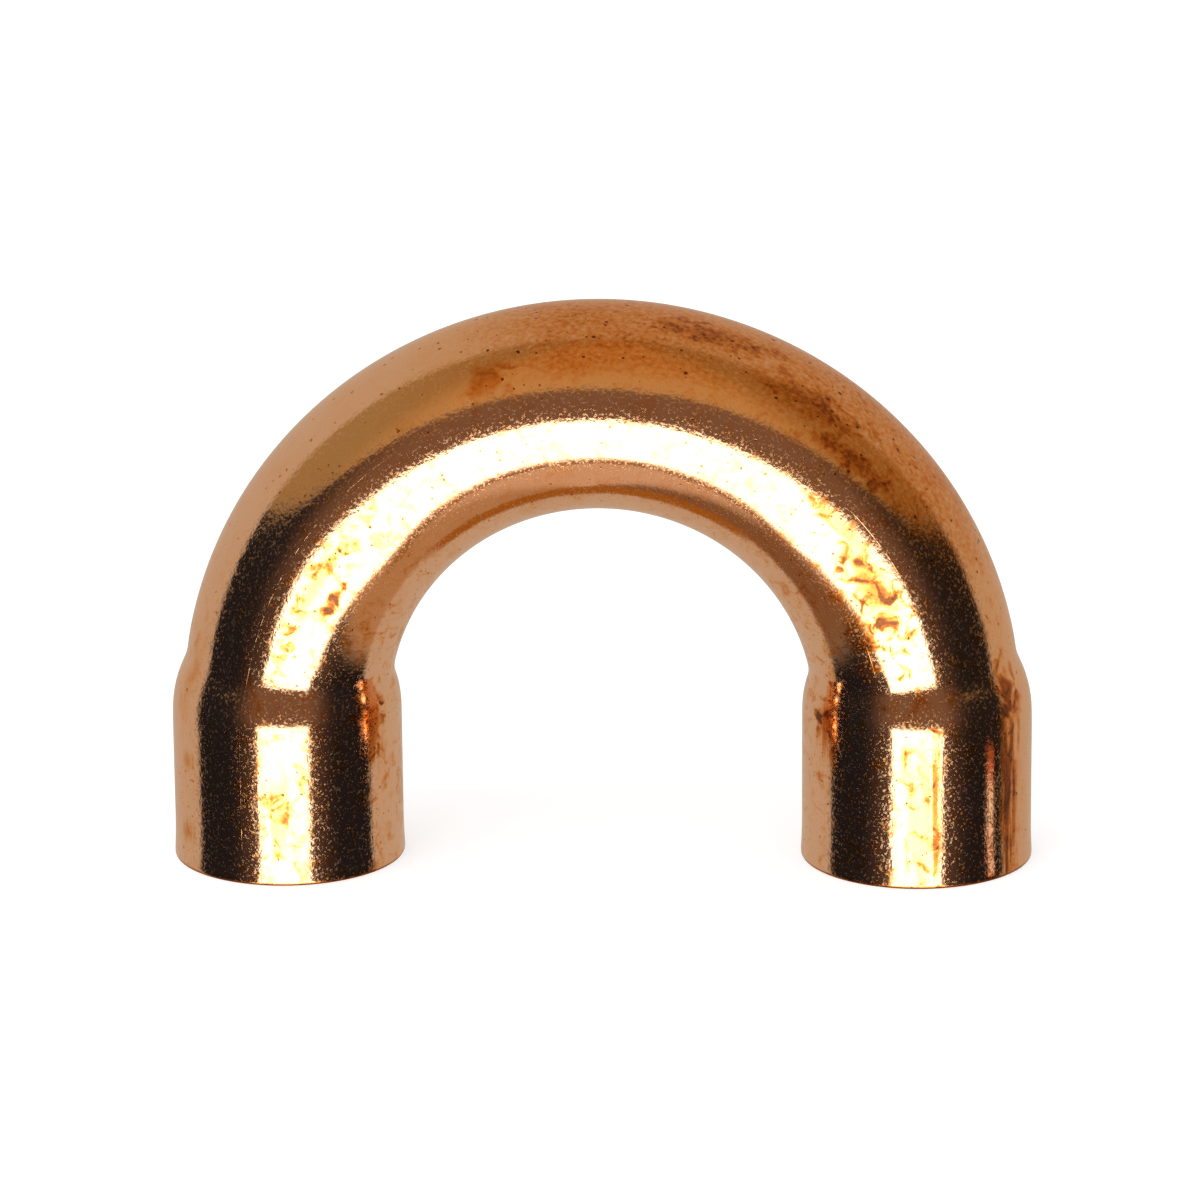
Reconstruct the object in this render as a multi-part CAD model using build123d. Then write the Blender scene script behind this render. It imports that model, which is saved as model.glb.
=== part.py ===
from build123d import *

import os

# Copper return bend: one length of tube bent through half a turn, with a socket formed on each end.
# It stands on its two mouths. The origin is midway between them, in the plane of their rims.
# X runs from one socket to the other, Y is square to the bend and Z points up to the crown.
# All sizes are in millimetres.

# The tube and its bend
TUBE_OD = 22.0
TUBE_WALL = 1.2
BEND_RADIUS = 33.5  # to the tube's centreline, so that the sockets' axes stand 67 apart
BORE_SHIFT = 0.15  # outwards, because bending thins the outside of the curve and thickens the inside

# The sockets, opened out by a round-nosed punch that stops where the bend starts
SOCKET_DEPTH = 16.0  # the straight part, from the rim up to the shoulder that the punch's nose leaves
SOCKET_WALL = 1.15
SOLDER_GAP = 0.05  # all round the tube that goes in, which is of the same size as this one
SHOULDER_BLEND = 3.0  # the hollow radius that the shoulder runs into the tube with

# The mouths, a little belled where the punch went in, with their rims cut square and deburred
MOUTH_BELL = 0.15
BELL_HEIGHT = 4.0
RIM_CHAMFER = 0.3  # on both edges of each rim

HALF_TURN = 180
QUARTER_TURN = 90


def bent_rod(radius, bend_radius):
    """A round rod that rises from one socket, goes over in a half circle and comes down in the other."""
    section = Pos(bend_radius, 0, SOCKET_DEPTH) * Circle(radius)
    bend_axis = Axis((0, 0, SOCKET_DEPTH), (0, -1, 0))
    return revolve(section, bend_axis, HALF_TURN)


def socket_form(radius):
    """The form that the punch gives the right-hand socket: a bell, a cylinder and a round nose."""
    bell = TangentArc((radius, BELL_HEIGHT), (radius + MOUTH_BELL, 0), tangent=(0, -1))
    wall = Line(bell @ 0, (radius, SOCKET_DEPTH))
    nose = CenterArc((0, SOCKET_DEPTH), radius, 0, QUARTER_TURN)
    closing = Polyline(nose @ 1, (0, 0), bell @ 1)
    profile = Plane.XZ * make_face(bell + wall + nose + closing)
    return Pos(BEND_RADIUS, 0, 0) * revolve(profile, Axis.Z)


def return_bend_form(tube_radius, bend_radius, socket_radius, blend_radius):
    """The bent rod with a socket form on each end, merged by a blend where each shoulder meets it."""
    socket = socket_form(socket_radius)
    form = bent_rod(tube_radius, bend_radius) + [socket, mirror(socket, Plane.YZ)]
    meeting_lines = form.edges().filter_by(GeomType.BSPLINE)
    return fillet(meeting_lines, blend_radius)


def return_bend():
    """The finished fitting: the outer form, hollowed by the form of its bore, with its rims deburred."""
    tube_radius = TUBE_OD / 2
    bore_radius = tube_radius + SOLDER_GAP
    outside = return_bend_form(
        tube_radius,
        BEND_RADIUS,
        bore_radius + SOCKET_WALL,
        SHOULDER_BLEND,
    )
    inside = return_bend_form(
        tube_radius - TUBE_WALL,
        BEND_RADIUS + BORE_SHIFT,
        bore_radius,
        SHOULDER_BLEND + SOCKET_WALL,
    )
    fitting = outside - inside
    rims = fitting.faces().sort_by(Axis.Z)[:2]
    return chamfer([edge for rim in rims for edge in rim.edges()], RIM_CHAMFER)


os.makedirs("parts", exist_ok=True)
export_step(return_bend(), "parts/return_bend.step")
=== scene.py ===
import math

import bmesh
import bpy
from mathutils import Matrix, Vector


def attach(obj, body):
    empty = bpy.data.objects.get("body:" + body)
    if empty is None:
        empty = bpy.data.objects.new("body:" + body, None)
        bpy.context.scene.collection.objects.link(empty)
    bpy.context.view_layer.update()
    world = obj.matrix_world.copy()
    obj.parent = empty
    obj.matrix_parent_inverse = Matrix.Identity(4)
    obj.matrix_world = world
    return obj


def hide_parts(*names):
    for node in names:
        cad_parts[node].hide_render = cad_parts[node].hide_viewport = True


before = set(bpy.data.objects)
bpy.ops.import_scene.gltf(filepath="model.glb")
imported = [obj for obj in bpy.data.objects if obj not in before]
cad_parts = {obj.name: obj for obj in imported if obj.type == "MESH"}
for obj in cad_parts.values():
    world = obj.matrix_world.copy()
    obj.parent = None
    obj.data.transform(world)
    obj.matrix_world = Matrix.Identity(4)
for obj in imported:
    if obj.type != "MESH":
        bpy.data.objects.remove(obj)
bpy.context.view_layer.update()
scene = bpy.context.scene

# The camera
# It stands in front of the fitting, a little to the right and above, and looks down at the middle of it.
# A long lens far away keeps the two sockets the same size, as in the photograph.
CAMERA_AIM = Vector((-0.00006, 0, 0.02798))
CAMERA_DISTANCE = 0.7
CAMERA_AZIMUTH = math.radians(2.41)
CAMERA_ELEVATION = math.radians(16.8)
CAMERA_ROLL = math.radians(-0.5)
CAMERA_LENS = 198.5  # millimetres, on a sensor 36 wide

camera = bpy.data.objects.new("Camera", bpy.data.cameras.new("Camera"))
camera.data.lens = CAMERA_LENS
tilt = Matrix.Rotation(math.radians(90) - CAMERA_ELEVATION, 4, "X")
stand = Matrix.Rotation(CAMERA_AZIMUTH, 4, "Z") @ tilt @ Matrix.Rotation(CAMERA_ROLL, 4, "Z")
camera.matrix_world = Matrix.Translation(CAMERA_AIM) @ stand @ Matrix.Translation((0, 0, CAMERA_DISTANCE))
scene.collection.objects.link(camera)
scene.camera = camera

# The return bend
# One length of copper tube, bent through half a turn, with a socket opened out on each end by a punch.
# The punch's round nose leaves a shoulder that runs into the bend. The rims are cut square and deburred.
TUBE_RADIUS = 0.011
BORE_RADIUS = 0.0098
BEND_RADIUS = 0.0335
BORE_SHIFT = 0.00015  # the outside of the bend is stretched thin, and the inside is thickened
SOCKET_DEPTH = 0.016
SOCKET_RADIUS = 0.0122
SOCKET_BORE_RADIUS = 0.01105
MOUTH_BELL = 0.00015
BELL_HEIGHT = 0.004
RIM_CHAMFER = 0.0003
NOSE_END = math.radians(8)  # how far round the bend the punch's nose reaches
SHOULDER_END = math.radians(13)  # where the shoulder has run out into the plain tube
SIDES = 96
BEND_STEPS = 34
NOSE_STEPS = 4
SHOULDER_STEPS = 4
SOCKET_STEPS = 4
MERGE_DISTANCE = 0.000001


def ring_place(height, turn, reach, radius):
    """Where a unit circle goes: up the socket by height, then round the bend's axis by turn."""
    return (
        Matrix.Translation((0, 0, height))
        @ Matrix.Rotation(-turn, 4, "Y")
        @ Matrix.Translation((reach, 0, 0))
        @ Matrix.Diagonal((radius, radius, 1, 1))
    )


def socket_places(tube_radius, tube_reach, socket_radius):
    """The rings of one wall, from the rim up the belled mouth and the socket, and over the shoulder."""
    places = []
    for step in range(SOCKET_STEPS + 1):
        height = BELL_HEIGHT * step / SOCKET_STEPS
        bell = MOUTH_BELL * (1 - step / SOCKET_STEPS) ** 2
        places.append(ring_place(height, 0, BEND_RADIUS, socket_radius + bell))
    for step in range(1, SOCKET_STEPS):
        height = BELL_HEIGHT + (SOCKET_DEPTH - BELL_HEIGHT) * step / SOCKET_STEPS
        places.append(ring_place(height, 0, BEND_RADIUS, socket_radius))
    for step in range(NOSE_STEPS + 1):
        turn = NOSE_END * step / NOSE_STEPS
        reach = BEND_RADIUS * math.cos(turn)
        radius = math.sqrt(socket_radius**2 - (BEND_RADIUS * math.sin(turn)) ** 2)
        places.append(ring_place(SOCKET_DEPTH, turn, reach, radius))
    for step in range(1, SHOULDER_STEPS + 1):
        left = (1 - step / SHOULDER_STEPS) ** 2
        turn = NOSE_END + (SHOULDER_END - NOSE_END) * step / SHOULDER_STEPS
        blended_reach = tube_reach + (reach - tube_reach) * left
        blended_radius = tube_radius + (radius - tube_radius) * left
        places.append(ring_place(SOCKET_DEPTH, turn, blended_reach, blended_radius))
    return places


def parts_of(geometry, kind):
    """The points or the edges among what an operator made."""
    return [part for part in geometry if isinstance(part, kind)]


def spin_to_crown(mesh, ring):
    """Carries a ring from the end of the shoulder round to the crown."""
    bmesh.ops.spin(
        mesh,
        geom=ring,
        cent=(0, 0, SOCKET_DEPTH),
        axis=(0, -1, 0),
        angle=math.radians(90) - SHOULDER_END,
        steps=BEND_STEPS,
    )


def build_return_bend():
    """A ring is drawn down the outside of the right-hand socket, over its rim and up the inside.

    Both ends are spun round to the crown, and the half is mirrored to the left.
    """
    mesh = bmesh.new()
    outside = socket_places(TUBE_RADIUS, BEND_RADIUS, SOCKET_RADIUS)[::-1]
    inside = socket_places(BORE_RADIUS, BEND_RADIUS + BORE_SHIFT, SOCKET_BORE_RADIUS)
    circle = bmesh.ops.create_circle(mesh, cap_ends=False, segments=SIDES, radius=1)
    bmesh.ops.transform(mesh, matrix=outside[0], verts=circle["verts"])
    ring = mesh.edges[:]
    spin_to_crown(mesh, ring)
    rims = []
    places = outside + inside
    for number, (before, after) in enumerate(zip(places, places[1:]), 1):
        made = bmesh.ops.extrude_edge_only(mesh, edges=ring)["geom"]
        ring = parts_of(made, bmesh.types.BMEdge)
        bmesh.ops.transform(mesh, matrix=after @ before.inverted(), verts=parts_of(made, bmesh.types.BMVert))
        if number in (len(outside) - 1, len(outside)):
            rims += ring
        if number == len(outside) - 1:
            outer_faces = len(mesh.faces)
    spin_to_crown(mesh, ring)
    mesh.faces.ensure_lookup_table()
    for face in mesh.faces[outer_faces:]:
        face.material_index = 1
    bmesh.ops.bevel(
        mesh,
        geom=rims,
        affect="EDGES",
        offset=RIM_CHAMFER,
        segments=2,
        profile=0.5,
        material=-1,
    )
    half = mesh.verts[:] + mesh.edges[:] + mesh.faces[:]
    bmesh.ops.mirror(mesh, geom=half, axis="X", merge_dist=MERGE_DISTANCE)
    bmesh.ops.remove_doubles(mesh, verts=mesh.verts, dist=MERGE_DISTANCE)
    bmesh.ops.recalc_face_normals(mesh, faces=mesh.faces)
    for face in mesh.faces:
        face.smooth = True
    data = bpy.data.meshes.new("return_bend_tube")
    mesh.to_mesh(data)
    mesh.free()
    return data


return_bend = bpy.data.objects.new("return_bend_tube", build_return_bend())
scene.collection.objects.link(return_bend)
finer = return_bend.modifiers.new("Finer skin", "SUBSURF")
finer.levels = 1
finer.render_levels = 1

# The copper
# Bright drawn copper that has been handled and stored. It is pale and pinkish where it is clean, and
# orange to brown where it has tarnished, mostly over the bend, with pits and fine lines along the tube.
# The rims are dark, partly from oxide on the cut edge and partly as painted shade, standing for the dark floor and
# shadow that they reflect.
COPPER_TONES = (
    (0.0, (0.93, 0.58, 0.37, 1)),
    (0.3, (0.90, 0.48, 0.23, 1)),
    (0.6, (0.76, 0.27, 0.06, 1)),
    (0.85, (0.42, 0.11, 0.025, 1)),
    (1.0, (0.17, 0.06, 0.025, 1)),
)
MILLIMETRES = 1000.0  # patterns on the metal are laid out in millimetres
MICROMETRE = 0.000001  # and their heights in micrometres
STAINS = (  # along the tube in mm, round it in degrees, half length, half width, and how strong
    (43.0, -22.0, 5.0, 10.0, 0.25),
    (34.0, -38.0, 6.0, 13.0, 0.25),
    (28.0, -54.0, 5.0, 8.0, 0.3),
    (17.5, -92.0, 7.0, 12.0, 0.68),
    (24.0, -84.0, 6.0, 6.0, 0.4),
    (14.0, -112.0, 9.0, 9.0, 0.45),
    (-7.0, -38.0, 14.0, 8.0, 0.75),
    (3.5, -33.0, 3.5, 10.0, 0.7),
    (0.5, -143.0, 5.0, 10.0, 0.65),
    (-6.0, -81.0, 9.0, 2.6, 0.7),
    (-1.5, -96.0, 1.6, 4.0, 0.6),
    (-9.0, -88.0, 9.0, 9.0, 0.3),
    (62.0, -55.0, 2.2, 13.0, 0.35),
    (88.5, -101.5, 3.0, 4.0, 0.8),
    (88.0, -89.0, 9.0, 6.0, 0.4),
    (117.0, -33.0, 1.5, 7.0, 0.5),
    (109.0, -34.0, 1.2, 6.0, 0.45),
    (114.0, -90.0, 5.0, 7.0, 0.35),
    (104.5, -143.0, 5.0, 10.0, 0.65),
    (101.0, -30.0, 5.0, 9.0, 0.4),
)
DIE_LINES = (  # round the tube in degrees, from and to along it in mm, width in degrees, and height
    (-70.3, 66.0, 119.0, 0.30, 7.0),
    (-66.0, 86.0, 101.0, 0.22, 5.0),
    (-61.5, 90.0, 101.0, 0.22, 5.0),
    (-75.0, 17.0, 28.0, 0.30, 7.0),
    (-109.5, 6.5, 13.0, 0.35, 10.0),
)


def join(tree, value, socket):
    """Gives a socket a value, or links another node's output to it."""
    if isinstance(value, bpy.types.NodeSocket):
        tree.links.new(value, socket)
    else:
        socket.default_value = value


def calc(tree, operation, *values, clamp=False):
    """The result of a Math node."""
    node = tree.nodes.new("ShaderNodeMath")
    node.operation = operation
    node.use_clamp = clamp
    for socket, value in zip(node.inputs, values):
        join(tree, value, socket)
    return node.outputs["Value"]


def ease(tree, value, start, end, low=0.0, high=1.0):
    """Goes smoothly from low to high while the value goes from start to end."""
    node = tree.nodes.new("ShaderNodeMapRange")
    node.interpolation_type = "SMOOTHSTEP"
    for socket, given in zip(node.inputs, (value, start, end, low, high)):
        join(tree, given, socket)
    return node.outputs["Result"]


def mix_colours(tree, share, first, second):
    """The first colour, turned by share into the second."""
    node = tree.nodes.new("ShaderNodeMix")
    node.data_type = "RGBA"
    join(tree, share, node.inputs["Factor"])
    join(tree, first, next(socket for socket in node.inputs if socket.name == "A" and socket.type == "RGBA"))
    join(tree, second, next(socket for socket in node.inputs if socket.name == "B" and socket.type == "RGBA"))
    return next(socket for socket in node.outputs if socket.type == "RGBA")


def clouds(tree, place, lump, detail=2.0, stretch=(1.0, 1.0, 1.0), swirl=0.0):
    """Noise from 0 to 1, with lumps of so many millimetres, drawn out by stretch."""
    scaled = tree.nodes.new("ShaderNodeVectorMath")
    scaled.operation = "MULTIPLY"
    join(tree, place, scaled.inputs[0])
    scaled.inputs[1].default_value = [1 / (lump * length) for length in stretch]
    node = tree.nodes.new("ShaderNodeTexNoise")
    node.inputs["Scale"].default_value = 1.0
    node.inputs["Detail"].default_value = detail
    node.inputs["Distortion"].default_value = swirl
    join(tree, scaled.outputs[0], node.inputs["Vector"])
    return node.outputs["Fac"]


def start_group(name, inputs, outputs):
    """An empty node group, and the nodes that its inputs and outputs go through."""
    group = bpy.data.node_groups.new(name, "ShaderNodeTree")
    for title, kind in inputs:
        group.interface.new_socket(title, in_out="INPUT", socket_type=kind)
    for title, kind in outputs:
        group.interface.new_socket(title, in_out="OUTPUT", socket_type=kind)
    return group, group.nodes.new("NodeGroupInput"), group.nodes.new("NodeGroupOutput")


def use_group(tree, group, values):
    """Places a group in a tree with its own values, and returns its outputs."""
    node = tree.nodes.new("ShaderNodeGroup")
    node.node_tree = group
    for title, value in values.items():
        join(tree, value, node.inputs[title])
    return node.outputs


def tube_place(tree):
    """Where a point is on the tube: along it in mm, round it in degrees, and a vector for noise.

    Along is 0 where the right-hand socket meets the bend, and less than 0 down in that socket.
    Round is 0 on the outside of the bend and -90 on its front.
    """
    parts = tree.nodes.new("ShaderNodeSeparateXYZ")
    scaled = tree.nodes.new("ShaderNodeVectorMath")
    scaled.operation = "SCALE"
    scaled.inputs["Scale"].default_value = MILLIMETRES
    join(tree, tree.nodes.new("ShaderNodeTexCoord").outputs["Object"], scaled.inputs[0])
    join(tree, scaled.outputs[0], parts.inputs[0])
    across, depth, height = parts.outputs
    above = calc(tree, "SUBTRACT", height, SOCKET_DEPTH * MILLIMETRES)
    over = calc(tree, "MAXIMUM", above, 0.0)
    reach = calc(tree, "SQRT", calc(tree, "ADD", calc(tree, "POWER", across, 2.0), calc(tree, "POWER", over, 2.0)))
    outward = calc(tree, "SUBTRACT", reach, BEND_RADIUS * MILLIMETRES)
    turned = calc(tree, "MULTIPLY", calc(tree, "ARCTAN2", over, across), BEND_RADIUS * MILLIMETRES)
    down = calc(tree, "MULTIPLY", calc(tree, "MINIMUM", above, 0.0), calc(tree, "SIGN", across))
    along = calc(tree, "ADD", turned, down)
    angle = calc(tree, "DEGREES", calc(tree, "ARCTAN2", depth, outward))
    place = tree.nodes.new("ShaderNodeCombineXYZ")
    for socket, value in zip(place.inputs, (along, outward, depth)):
        join(tree, value, socket)
    return along, angle, place.outputs[0]


def build_pits():
    """Small pits with uneven edges, scattered one to a cell, and only in some cells."""
    group, given, made = start_group(
        "Pits",
        (
            ("Place", "NodeSocketVector"),
            ("Uneven", "NodeSocketFloat"),
            ("Spacing", "NodeSocketFloat"),
            ("Size", "NodeSocketFloat"),
        ),
        (("Mask", "NodeSocketFloat"),),
    )
    cells = group.nodes.new("ShaderNodeTexVoronoi")
    join(group, given.outputs["Place"], cells.inputs["Vector"])
    join(group, calc(group, "DIVIDE", 1.0, given.outputs["Spacing"]), cells.inputs["Scale"])
    chance = group.nodes.new("ShaderNodeSeparateColor")
    join(group, cells.outputs["Color"], chance.inputs[0])
    size = calc(group, "DIVIDE", given.outputs["Size"], given.outputs["Spacing"])
    size = calc(group, "MULTIPLY", size, ease(group, chance.outputs[0], 0.35, 1.0))
    size = calc(group, "MULTIPLY", size, calc(group, "MULTIPLY", given.outputs["Uneven"], 2.0))
    edge = calc(group, "SUBTRACT", size, cells.outputs["Distance"])
    join(group, ease(group, edge, 0.0, 0.05), made.inputs["Mask"])
    return group


def build_stain():
    """A patch of tarnish with a ragged edge, at a place along and round the tube."""
    sizes = ("Along", "Round", "Ragged", "Centre along", "Centre round", "Half length", "Half width")
    group, given, made = start_group(
        "Stain",
        [(title, "NodeSocketFloat") for title in sizes],
        (("Mask", "NodeSocketFloat"),),
    )
    find = given.outputs
    lengthways = calc(group, "SUBTRACT", find["Along"], find["Centre along"])
    sideways = calc(group, "SUBTRACT", find["Round"], find["Centre round"])
    lengthways = calc(group, "POWER", calc(group, "DIVIDE", lengthways, find["Half length"]), 2.0)
    sideways = calc(group, "POWER", calc(group, "DIVIDE", sideways, find["Half width"]), 2.0)
    away = calc(group, "SQRT", calc(group, "ADD", lengthways, sideways))
    away = calc(group, "MULTIPLY_ADD", calc(group, "SUBTRACT", find["Ragged"], 0.5), -2.6, away)
    join(group, ease(group, away, 0.2, 1.3, 1.0, 0.0), made.inputs["Mask"])
    return group


def build_die_line():
    """A thin raised line that the drawing die left along the tube."""
    sizes = ("Along", "Round", "Angle", "From", "To", "Width")
    group, given, made = start_group(
        "Die line",
        [(title, "NodeSocketFloat") for title in sizes],
        (("Mask", "NodeSocketFloat"),),
    )
    find = given.outputs
    aside = calc(group, "ABSOLUTE", calc(group, "SUBTRACT", find["Round"], find["Angle"]))
    line = ease(group, calc(group, "DIVIDE", aside, find["Width"]), 0.0, 1.0, 1.0, 0.0)
    begun = ease(group, calc(group, "SUBTRACT", find["Along"], find["From"]), 0.0, 3.0)
    ended = ease(group, calc(group, "SUBTRACT", find["To"], find["Along"]), 0.0, 3.0)
    join(group, calc(group, "MULTIPLY", line, calc(group, "MULTIPLY", begun, ended)), made.inputs["Mask"])
    return group


def tone_scale(tree, tarnish):
    """The copper's colour, from clean to brown."""
    node = tree.nodes.new("ShaderNodeValToRGB")
    stops = node.color_ramp.elements
    while len(stops) < len(COPPER_TONES):
        stops.new(0.5)
    for stop, (position, colour) in zip(stops, COPPER_TONES):
        stop.position = position
        stop.color = colour
    join(tree, tarnish, node.inputs["Fac"])
    return node.outputs["Color"]


def finish_metal(material, colour, roughness, relief):
    """Sets a copper's Principled shader from its colour, its roughness and its relief in micrometres."""
    tree = material.node_tree
    shader = tree.nodes["Principled BSDF"]
    shader.inputs["Metallic"].default_value = 1
    join(tree, colour, shader.inputs["Base Color"])
    join(tree, roughness, shader.inputs["Roughness"])
    bump = tree.nodes.new("ShaderNodeBump")
    bump.inputs["Distance"].default_value = MICROMETRE
    join(tree, relief, bump.inputs["Height"])
    join(tree, bump.outputs["Normal"], shader.inputs["Normal"])


pits = build_pits()
stain = build_stain()
die_line = build_die_line()

weathered = bpy.data.materials.new("Weathered copper")
weathered.use_nodes = True
tree = weathered.node_tree
along, angle, place = tube_place(tree)
broad = clouds(tree, place, 9.0, 2.0)
patchy = clouds(tree, place, 1.6, 5.0, swirl=0.8)
fine = clouds(tree, place, 0.42, 2.0)
grain = clouds(tree, place, 0.28, 1.0)
scratchy = clouds(tree, place, 0.35, 2.0, (22.0, 1.0, 1.0))
brushed = clouds(tree, place, 0.3, 2.0, (1.0, 14.0, 14.0))
streaky = clouds(tree, place, 0.8, 3.0, (9.0, 1.0, 1.0))
crown = calc(tree, "ABSOLUTE", calc(tree, "SUBTRACT", along, BEND_RADIUS * MILLIMETRES * math.pi / 2))
round_from_outside = calc(tree, "ABSOLUTE", angle)
outside = ease(tree, round_from_outside, 50.0, 72.0, 1.0, 0.0)
handled = calc(tree, "MULTIPLY", ease(tree, along, 76.0, 54.0), ease(tree, along, 2.0, 24.0, 0.4, 1.0))
tarnish = calc(tree, "MULTIPLY", calc(tree, "MULTIPLY", outside, handled), 0.5)
tarnish = calc(tree, "MULTIPLY_ADD", calc(tree, "SUBTRACT", broad, 0.5), 0.35, tarnish)
blotched = calc(tree, "MULTIPLY", ease(tree, crown, 12.0, 40.0, 0.25, 0.5), ease(tree, outside, 0.0, 1.0, 1.0, 0.25))
tarnish = calc(tree, "MULTIPLY_ADD", ease(tree, patchy, 0.46, 0.7), blotched, tarnish)
tarnish = calc(tree, "MULTIPLY", tarnish, calc(tree, "MULTIPLY_ADD", fine, 1.4, 0.3), clamp=True)
ragged = calc(tree, "ADD", patchy, calc(tree, "MULTIPLY", calc(tree, "SUBTRACT", streaky, patchy), ease(tree, crown, 50.0, 54.0)))
# The lowest half millimetre of both sockets goes fully dark. This is partly oxide on the cut rims and partly painted
# shade, standing for the dark floor and shadow that the rims reflect.
stains_and_rim_shade = ease(tree, crown, 68.1, 68.5)
for along_at, round_at, half_length, half_width, strength in STAINS:
    mask = use_group(tree, stain, {
        "Along": along,
        "Round": angle,
        "Ragged": ragged,
        "Centre along": along_at,
        "Centre round": round_at,
        "Half length": half_length,
        "Half width": half_width,
    })["Mask"]
    stains_and_rim_shade = calc(tree, "MAXIMUM", stains_and_rim_shade, calc(tree, "MULTIPLY", mask, strength))
# From here the tarnish also carries the painted shade on the rims.
tarnish = calc(tree, "ADD", tarnish, stains_and_rim_shade, clamp=True)
pitted = use_group(tree, pits, {"Place": place, "Uneven": fine, "Spacing": 0.8, "Size": 0.17})["Mask"]
lines = 0.0
for round_at, start, end, width, height in DIE_LINES:
    mask = use_group(tree, die_line, {
        "Along": along,
        "Round": angle,
        "Angle": round_at,
        "From": start,
        "To": end,
        "Width": width,
    })["Mask"]
    lines = calc(tree, "MAXIMUM", lines, calc(tree, "MULTIPLY", mask, height))
buffed = calc(tree, "MULTIPLY", ease(tree, crown, 8.0, 15.0, 1.0, 0.0), ease(tree, round_from_outside, 45.0, 70.0, 1.0, 0.0))
stretched = calc(tree, "MAXIMUM", ease(tree, round_from_outside, 84.0, 98.0, 1.0, 0.35), ease(tree, crown, 50.0, 54.0))
colour = tone_scale(tree, calc(tree, "MULTIPLY_ADD", pitted, 0.6, tarnish, clamp=True))
roughness = calc(tree, "MULTIPLY_ADD", tarnish, 0.13, 0.09)
roughness = calc(tree, "MULTIPLY_ADD", ease(tree, grain, 0.5, 0.7), 0.20, roughness)
rough_skin = calc(tree, "MULTIPLY", fine, 13.0)
rough_skin = calc(tree, "MULTIPLY_ADD", grain, 4.0, rough_skin)
rough_skin = calc(tree, "MULTIPLY_ADD", scratchy, 4.0, rough_skin)
relief = calc(tree, "MULTIPLY", broad, 40.0)
relief = calc(tree, "MULTIPLY_ADD", patchy, 12.0, relief)
relief = calc(tree, "MULTIPLY_ADD", rough_skin, stretched, relief)
relief = calc(tree, "MULTIPLY_ADD", calc(tree, "MULTIPLY", brushed, buffed), 9.0, relief)
relief = calc(tree, "MULTIPLY_ADD", pitted, -6.0, relief)
relief = calc(tree, "MULTIPLY_ADD", lines, ease(tree, patchy, 0.35, 0.55), relief)
finish_metal(weathered, colour, roughness, relief)

bore_copper = bpy.data.materials.new("Bore copper")
bore_copper.use_nodes = True
tree = bore_copper.node_tree
along, angle, place = tube_place(tree)
patchy = clouds(tree, place, 2.5, 4.0)
drawn = clouds(tree, place, 0.3, 2.0, (30.0, 1.0, 1.0))
pitted = use_group(tree, pits, {"Place": place, "Uneven": patchy, "Spacing": 1.6, "Size": 0.3})["Mask"]
tarnish = calc(tree, "MULTIPLY_ADD", patchy, 0.5, 0.05, clamp=True)
roughness = calc(tree, "MULTIPLY_ADD", patchy, 0.2, 0.15)
relief = calc(tree, "MULTIPLY", drawn, 5.0)
relief = calc(tree, "MULTIPLY_ADD", pitted, -5.0, relief)
finish_metal(bore_copper, tone_scale(tree, tarnish), roughness, relief)

return_bend.data.materials.append(weathered)
return_bend.data.materials.append(bore_copper)
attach(return_bend, "root")
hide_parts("return_bend")

# The floor
# A large pale sheet that the fitting stands on. It goes white before the camera and keeps a soft shadow,
# and from below it is clear, so that the two mouths can be seen.
FLOOR_REACH = 3.0
FLOOR_COLOUR = (0.5, 0.5, 0.5, 1)
FLOOR_GLOW = 0.62

floor_mesh = bmesh.new()
bmesh.ops.create_grid(floor_mesh, x_segments=1, y_segments=1, size=FLOOR_REACH)
floor_data = bpy.data.meshes.new("Floor")
floor_mesh.to_mesh(floor_data)
floor_mesh.free()
floor = bpy.data.objects.new("Floor", floor_data)
scene.collection.objects.link(floor)
floor.visible_glossy = False
pale = bpy.data.materials.new("Pale floor")
pale.use_nodes = True
tree = pale.node_tree
tree.nodes.clear()
sheet = tree.nodes.new("ShaderNodeBsdfDiffuse")
sheet.inputs["Color"].default_value = FLOOR_COLOUR
glow = tree.nodes.new("ShaderNodeEmission")
rays = tree.nodes.new("ShaderNodeLightPath")
join(tree, calc(tree, "MULTIPLY", rays.outputs["Is Camera Ray"], FLOOR_GLOW), glow.inputs["Strength"])
lit = tree.nodes.new("ShaderNodeAddShader")
join(tree, sheet.outputs["BSDF"], lit.inputs[0])
join(tree, glow.outputs["Emission"], lit.inputs[1])
clear = tree.nodes.new("ShaderNodeBsdfTransparent")
side = tree.nodes.new("ShaderNodeMixShader")
join(tree, tree.nodes.new("ShaderNodeNewGeometry").outputs["Backfacing"], side.inputs[0])
join(tree, lit.outputs["Shader"], side.inputs[1])
join(tree, clear.outputs["BSDF"], side.inputs[2])
output = tree.nodes.new("ShaderNodeOutputMaterial")
join(tree, side.outputs["Shader"], output.inputs["Surface"])
floor_data.materials.append(pale)

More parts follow.
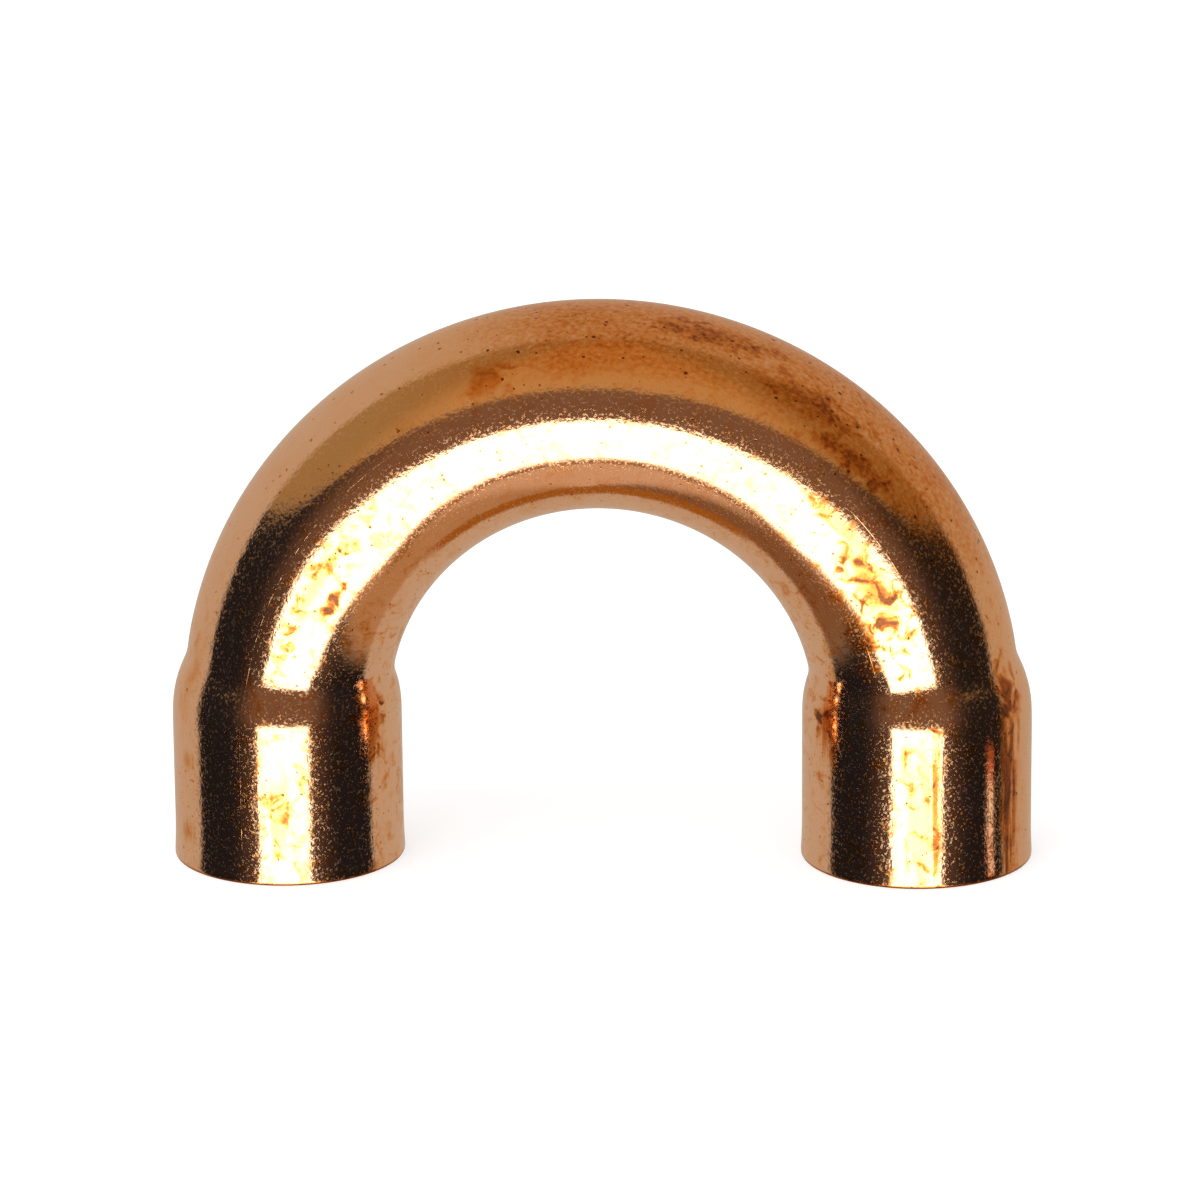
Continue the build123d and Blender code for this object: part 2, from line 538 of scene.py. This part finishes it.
# The studio
# A pale room with dark screens on both sides and a bright panel in front, low down, as the bright metal
# shows them. Directions are in degrees: aside is to the left or right of the front, and rise is upwards.
ROOM_COLOUR = (0.56, 0.47, 0.38, 1)
CEILING_COLOUR = (0.55, 0.36, 0.16, 1)
SIDE_CEILING_COLOUR = (0.36, 0.25, 0.11, 1)
BENCH_COLOUR = (0.66, 0.47, 0.34, 1)
RIGHT_BENCH_COLOUR = (0.46, 0.29, 0.16, 1)
LEFT_BENCH_COLOUR = (0.22, 0.12, 0.06, 1)
FRAME_COLOUR = (0.26, 0.12, 0.04, 1)
SHADE_COLOUR = (0.34, 0.13, 0.015, 1)
SCREEN_COLOUR = (0.014, 0.013, 0.017, 1)
GLOW_COLOUR = (0.20, 0.115, 0.07, 1)
PANEL_COLOUR = (3.6, 3.4, 3.0, 1)
PLAIN_LIGHT = 0.9


def band(tree, value, low, high, soft):
    """1 while the value is between low and high, with soft ends."""
    return calc(tree, "MULTIPLY", ease(tree, value, low - soft, low), ease(tree, value, high, high + soft, 1.0, 0.0))


world = bpy.data.worlds.new("Studio")
scene.world = world
world.use_nodes = True
tree = world.node_tree
tree.nodes.clear()
direction = tree.nodes.new("ShaderNodeSeparateXYZ")
join(tree, tree.nodes.new("ShaderNodeTexCoord").outputs["Generated"], direction.inputs[0])
across, along, up = direction.outputs
to_front = calc(tree, "MULTIPLY", along, -1.0)
turn = calc(tree, "DEGREES", calc(tree, "ARCTAN2", across, to_front))
aside = calc(tree, "ABSOLUTE", turn)
rise = calc(tree, "DEGREES", calc(tree, "ARCSINE", up))
front = ease(tree, aside, 94.0, 98.0, 1.0, 0.0)
screen_top = ease(tree, aside, 15.0, 60.0, 30.0, 19.0)
above_screen = calc(tree, "SUBTRACT", rise, screen_top)
ceiling = calc(tree, "MULTIPLY", front, ease(tree, above_screen, -2.0, 2.0))
side_ceiling = calc(tree, "MULTIPLY", ceiling, ease(tree, aside, 25.0, 60.0))
bench = calc(tree, "MULTIPLY", front, ease(tree, rise, -40.0, -32.0, 1.0, 0.0))
left_bench = calc(tree, "MULTIPLY", bench, ease(tree, turn, -28.0, -55.0))
right_bench = calc(tree, "MULTIPLY", bench, ease(tree, turn, 15.0, 40.0))
screen = calc(tree, "MULTIPLY", front, ease(tree, above_screen, -2.0, 2.0, 1.0, 0.0))
screen = calc(tree, "MULTIPLY", screen, ease(tree, rise, -40.0, -32.0))
drop = calc(tree, "MAXIMUM", calc(tree, "SUBTRACT", -18.0, rise), 0.0)
spread = calc(tree, "SUBTRACT", aside, calc(tree, "MULTIPLY", drop, 0.5))
panel = calc(tree, "MULTIPLY", ease(tree, spread, 23.0, 26.0, 1.0, 0.0), band(tree, rise, -45.0, -5.0, 3.0))
glow = calc(tree, "MULTIPLY", screen, calc(tree, "POWER", ease(tree, spread, 62.0, 22.0), 1.5))
glow = calc(tree, "MULTIPLY", glow, ease(tree, rise, -8.0, 4.0, 0.5, 1.0))
edge = calc(tree, "MULTIPLY", ease(tree, spread, 30.0, 40.0, 1.0, 0.0), band(tree, rise, -52.5, -50.5, 1.0))
behind = calc(tree, "DIVIDE", along, calc(tree, "MAXIMUM", calc(tree, "MULTIPLY", up, -1.0), 0.001))
shade = calc(tree, "MULTIPLY", band(tree, behind, -0.02, 0.2, 0.03), ease(tree, up, -0.86, -0.90))
shown = ROOM_COLOUR
for share, colour in (
    (ceiling, CEILING_COLOUR),
    (side_ceiling, SIDE_CEILING_COLOUR),
    (bench, BENCH_COLOUR),
    (left_bench, LEFT_BENCH_COLOUR),
    (right_bench, RIGHT_BENCH_COLOUR),
    (screen, SCREEN_COLOUR),
    (glow, GLOW_COLOUR),
    (edge, FRAME_COLOUR),
    (panel, PANEL_COLOUR),
    (shade, SHADE_COLOUR),
):
    shown = mix_colours(tree, share, shown, colour)
rays = tree.nodes.new("ShaderNodeLightPath")
plain = tree.nodes.new("ShaderNodeBackground")
plain.inputs["Color"].default_value = (1, 1, 1, 1)
plain.inputs["Strength"].default_value = PLAIN_LIGHT
white = tree.nodes.new("ShaderNodeBackground")
white.inputs["Color"].default_value = (1, 1, 1, 1)
mirrored = tree.nodes.new("ShaderNodeBackground")
join(tree, shown, mirrored.inputs["Color"])
seen = tree.nodes.new("ShaderNodeMixShader")
join(tree, rays.outputs["Is Camera Ray"], seen.inputs[0])
join(tree, plain.outputs[0], seen.inputs[1])
join(tree, white.outputs[0], seen.inputs[2])
reflected = tree.nodes.new("ShaderNodeMixShader")
join(tree, rays.outputs["Is Glossy Ray"], reflected.inputs[0])
join(tree, seen.outputs[0], reflected.inputs[1])
join(tree, mirrored.outputs[0], reflected.inputs[2])
output = tree.nodes.new("ShaderNodeOutputWorld")
join(tree, reflected.outputs[0], output.inputs["Surface"])

# The glowing card
# A narrow strip of card that glows, orange at its edges and near white in the middle, held low, close to the
# right-hand socket.
# It is no lamp, and only the metal shows it, as a painted highlight: a thin bright streak down the socket's outer
# side.
CARD_WIDTH = 0.007
CARD_DISTANCE = 0.05
CARD_TURN = math.radians(79)
CARD_TOP = -0.001
CARD_BOTTOM = -0.018
# The colours of the card's glow, which paint the streak's orange edges and pale middle.
CARD_EDGE_COLOUR = (0.62, 0.16, 0.06, 1)
CARD_MIDDLE_COLOUR = (1.1, 0.95, 0.85, 1)
CARD_MIDDLE = (-0.0128, -0.0058)

faces_card = Vector((BEND_RADIUS + 0.0077, -0.0095, (CARD_TOP + CARD_BOTTOM) / 2))
card_mesh = bmesh.new()
bmesh.ops.create_grid(card_mesh, x_segments=1, y_segments=1, size=0.5)
bmesh.ops.scale(card_mesh, vec=(CARD_WIDTH, CARD_TOP - CARD_BOTTOM, 1), verts=card_mesh.verts)
upright = Matrix.Rotation(CARD_TURN, 4, "Z") @ Matrix.Rotation(math.radians(90), 4, "X")
held = Matrix.Translation(faces_card + CARD_DISTANCE * Vector((math.sin(CARD_TURN), -math.cos(CARD_TURN), 0)))
bmesh.ops.transform(card_mesh, matrix=held @ upright, verts=card_mesh.verts)
card_data = bpy.data.meshes.new("Glowing_streak_card")
card_mesh.to_mesh(card_data)
card_mesh.free()
card = bpy.data.objects.new("Glowing_streak_card", card_data)
scene.collection.objects.link(card)
card.visible_camera = False
card.visible_diffuse = False
card.visible_transmission = False
card.visible_shadow = False
streak_glow = bpy.data.materials.new("Glowing streak card")
streak_glow.use_nodes = True
tree = streak_glow.node_tree
tree.nodes.clear()
parts = tree.nodes.new("ShaderNodeSeparateXYZ")
join(tree, tree.nodes.new("ShaderNodeTexCoord").outputs["Object"], parts.inputs[0])
middle = band(tree, parts.outputs["Z"], *CARD_MIDDLE, 0.0004)
# The card gives off its own light. The streak it puts in the metal is a painted highlight.
glow = tree.nodes.new("ShaderNodeEmission")
join(tree, mix_colours(tree, middle, CARD_EDGE_COLOUR, CARD_MIDDLE_COLOUR), glow.inputs["Color"])
output = tree.nodes.new("ShaderNodeOutputMaterial")
join(tree, glow.outputs["Emission"], output.inputs["Surface"])
card_data.materials.append(streak_glow)

# The lamp
# One large soft lamp overhead, which gives the fitting its shadow on the floor.
LAMP_SIZE = 0.6
LAMP_POWER = 3.0
LAMP_PLACE = Vector((-0.35, -0.45, 0.9))

lamp = bpy.data.objects.new("Lamp", bpy.data.lights.new("Lamp", "AREA"))
lamp.data.size = LAMP_SIZE
lamp.data.energy = LAMP_POWER
lamp.location = LAMP_PLACE
lamp.rotation_euler = (-LAMP_PLACE).to_track_quat("-Z", "Y").to_euler()
lamp.visible_glossy = False
scene.collection.objects.link(lamp)

scene.view_settings.view_transform = "Standard"
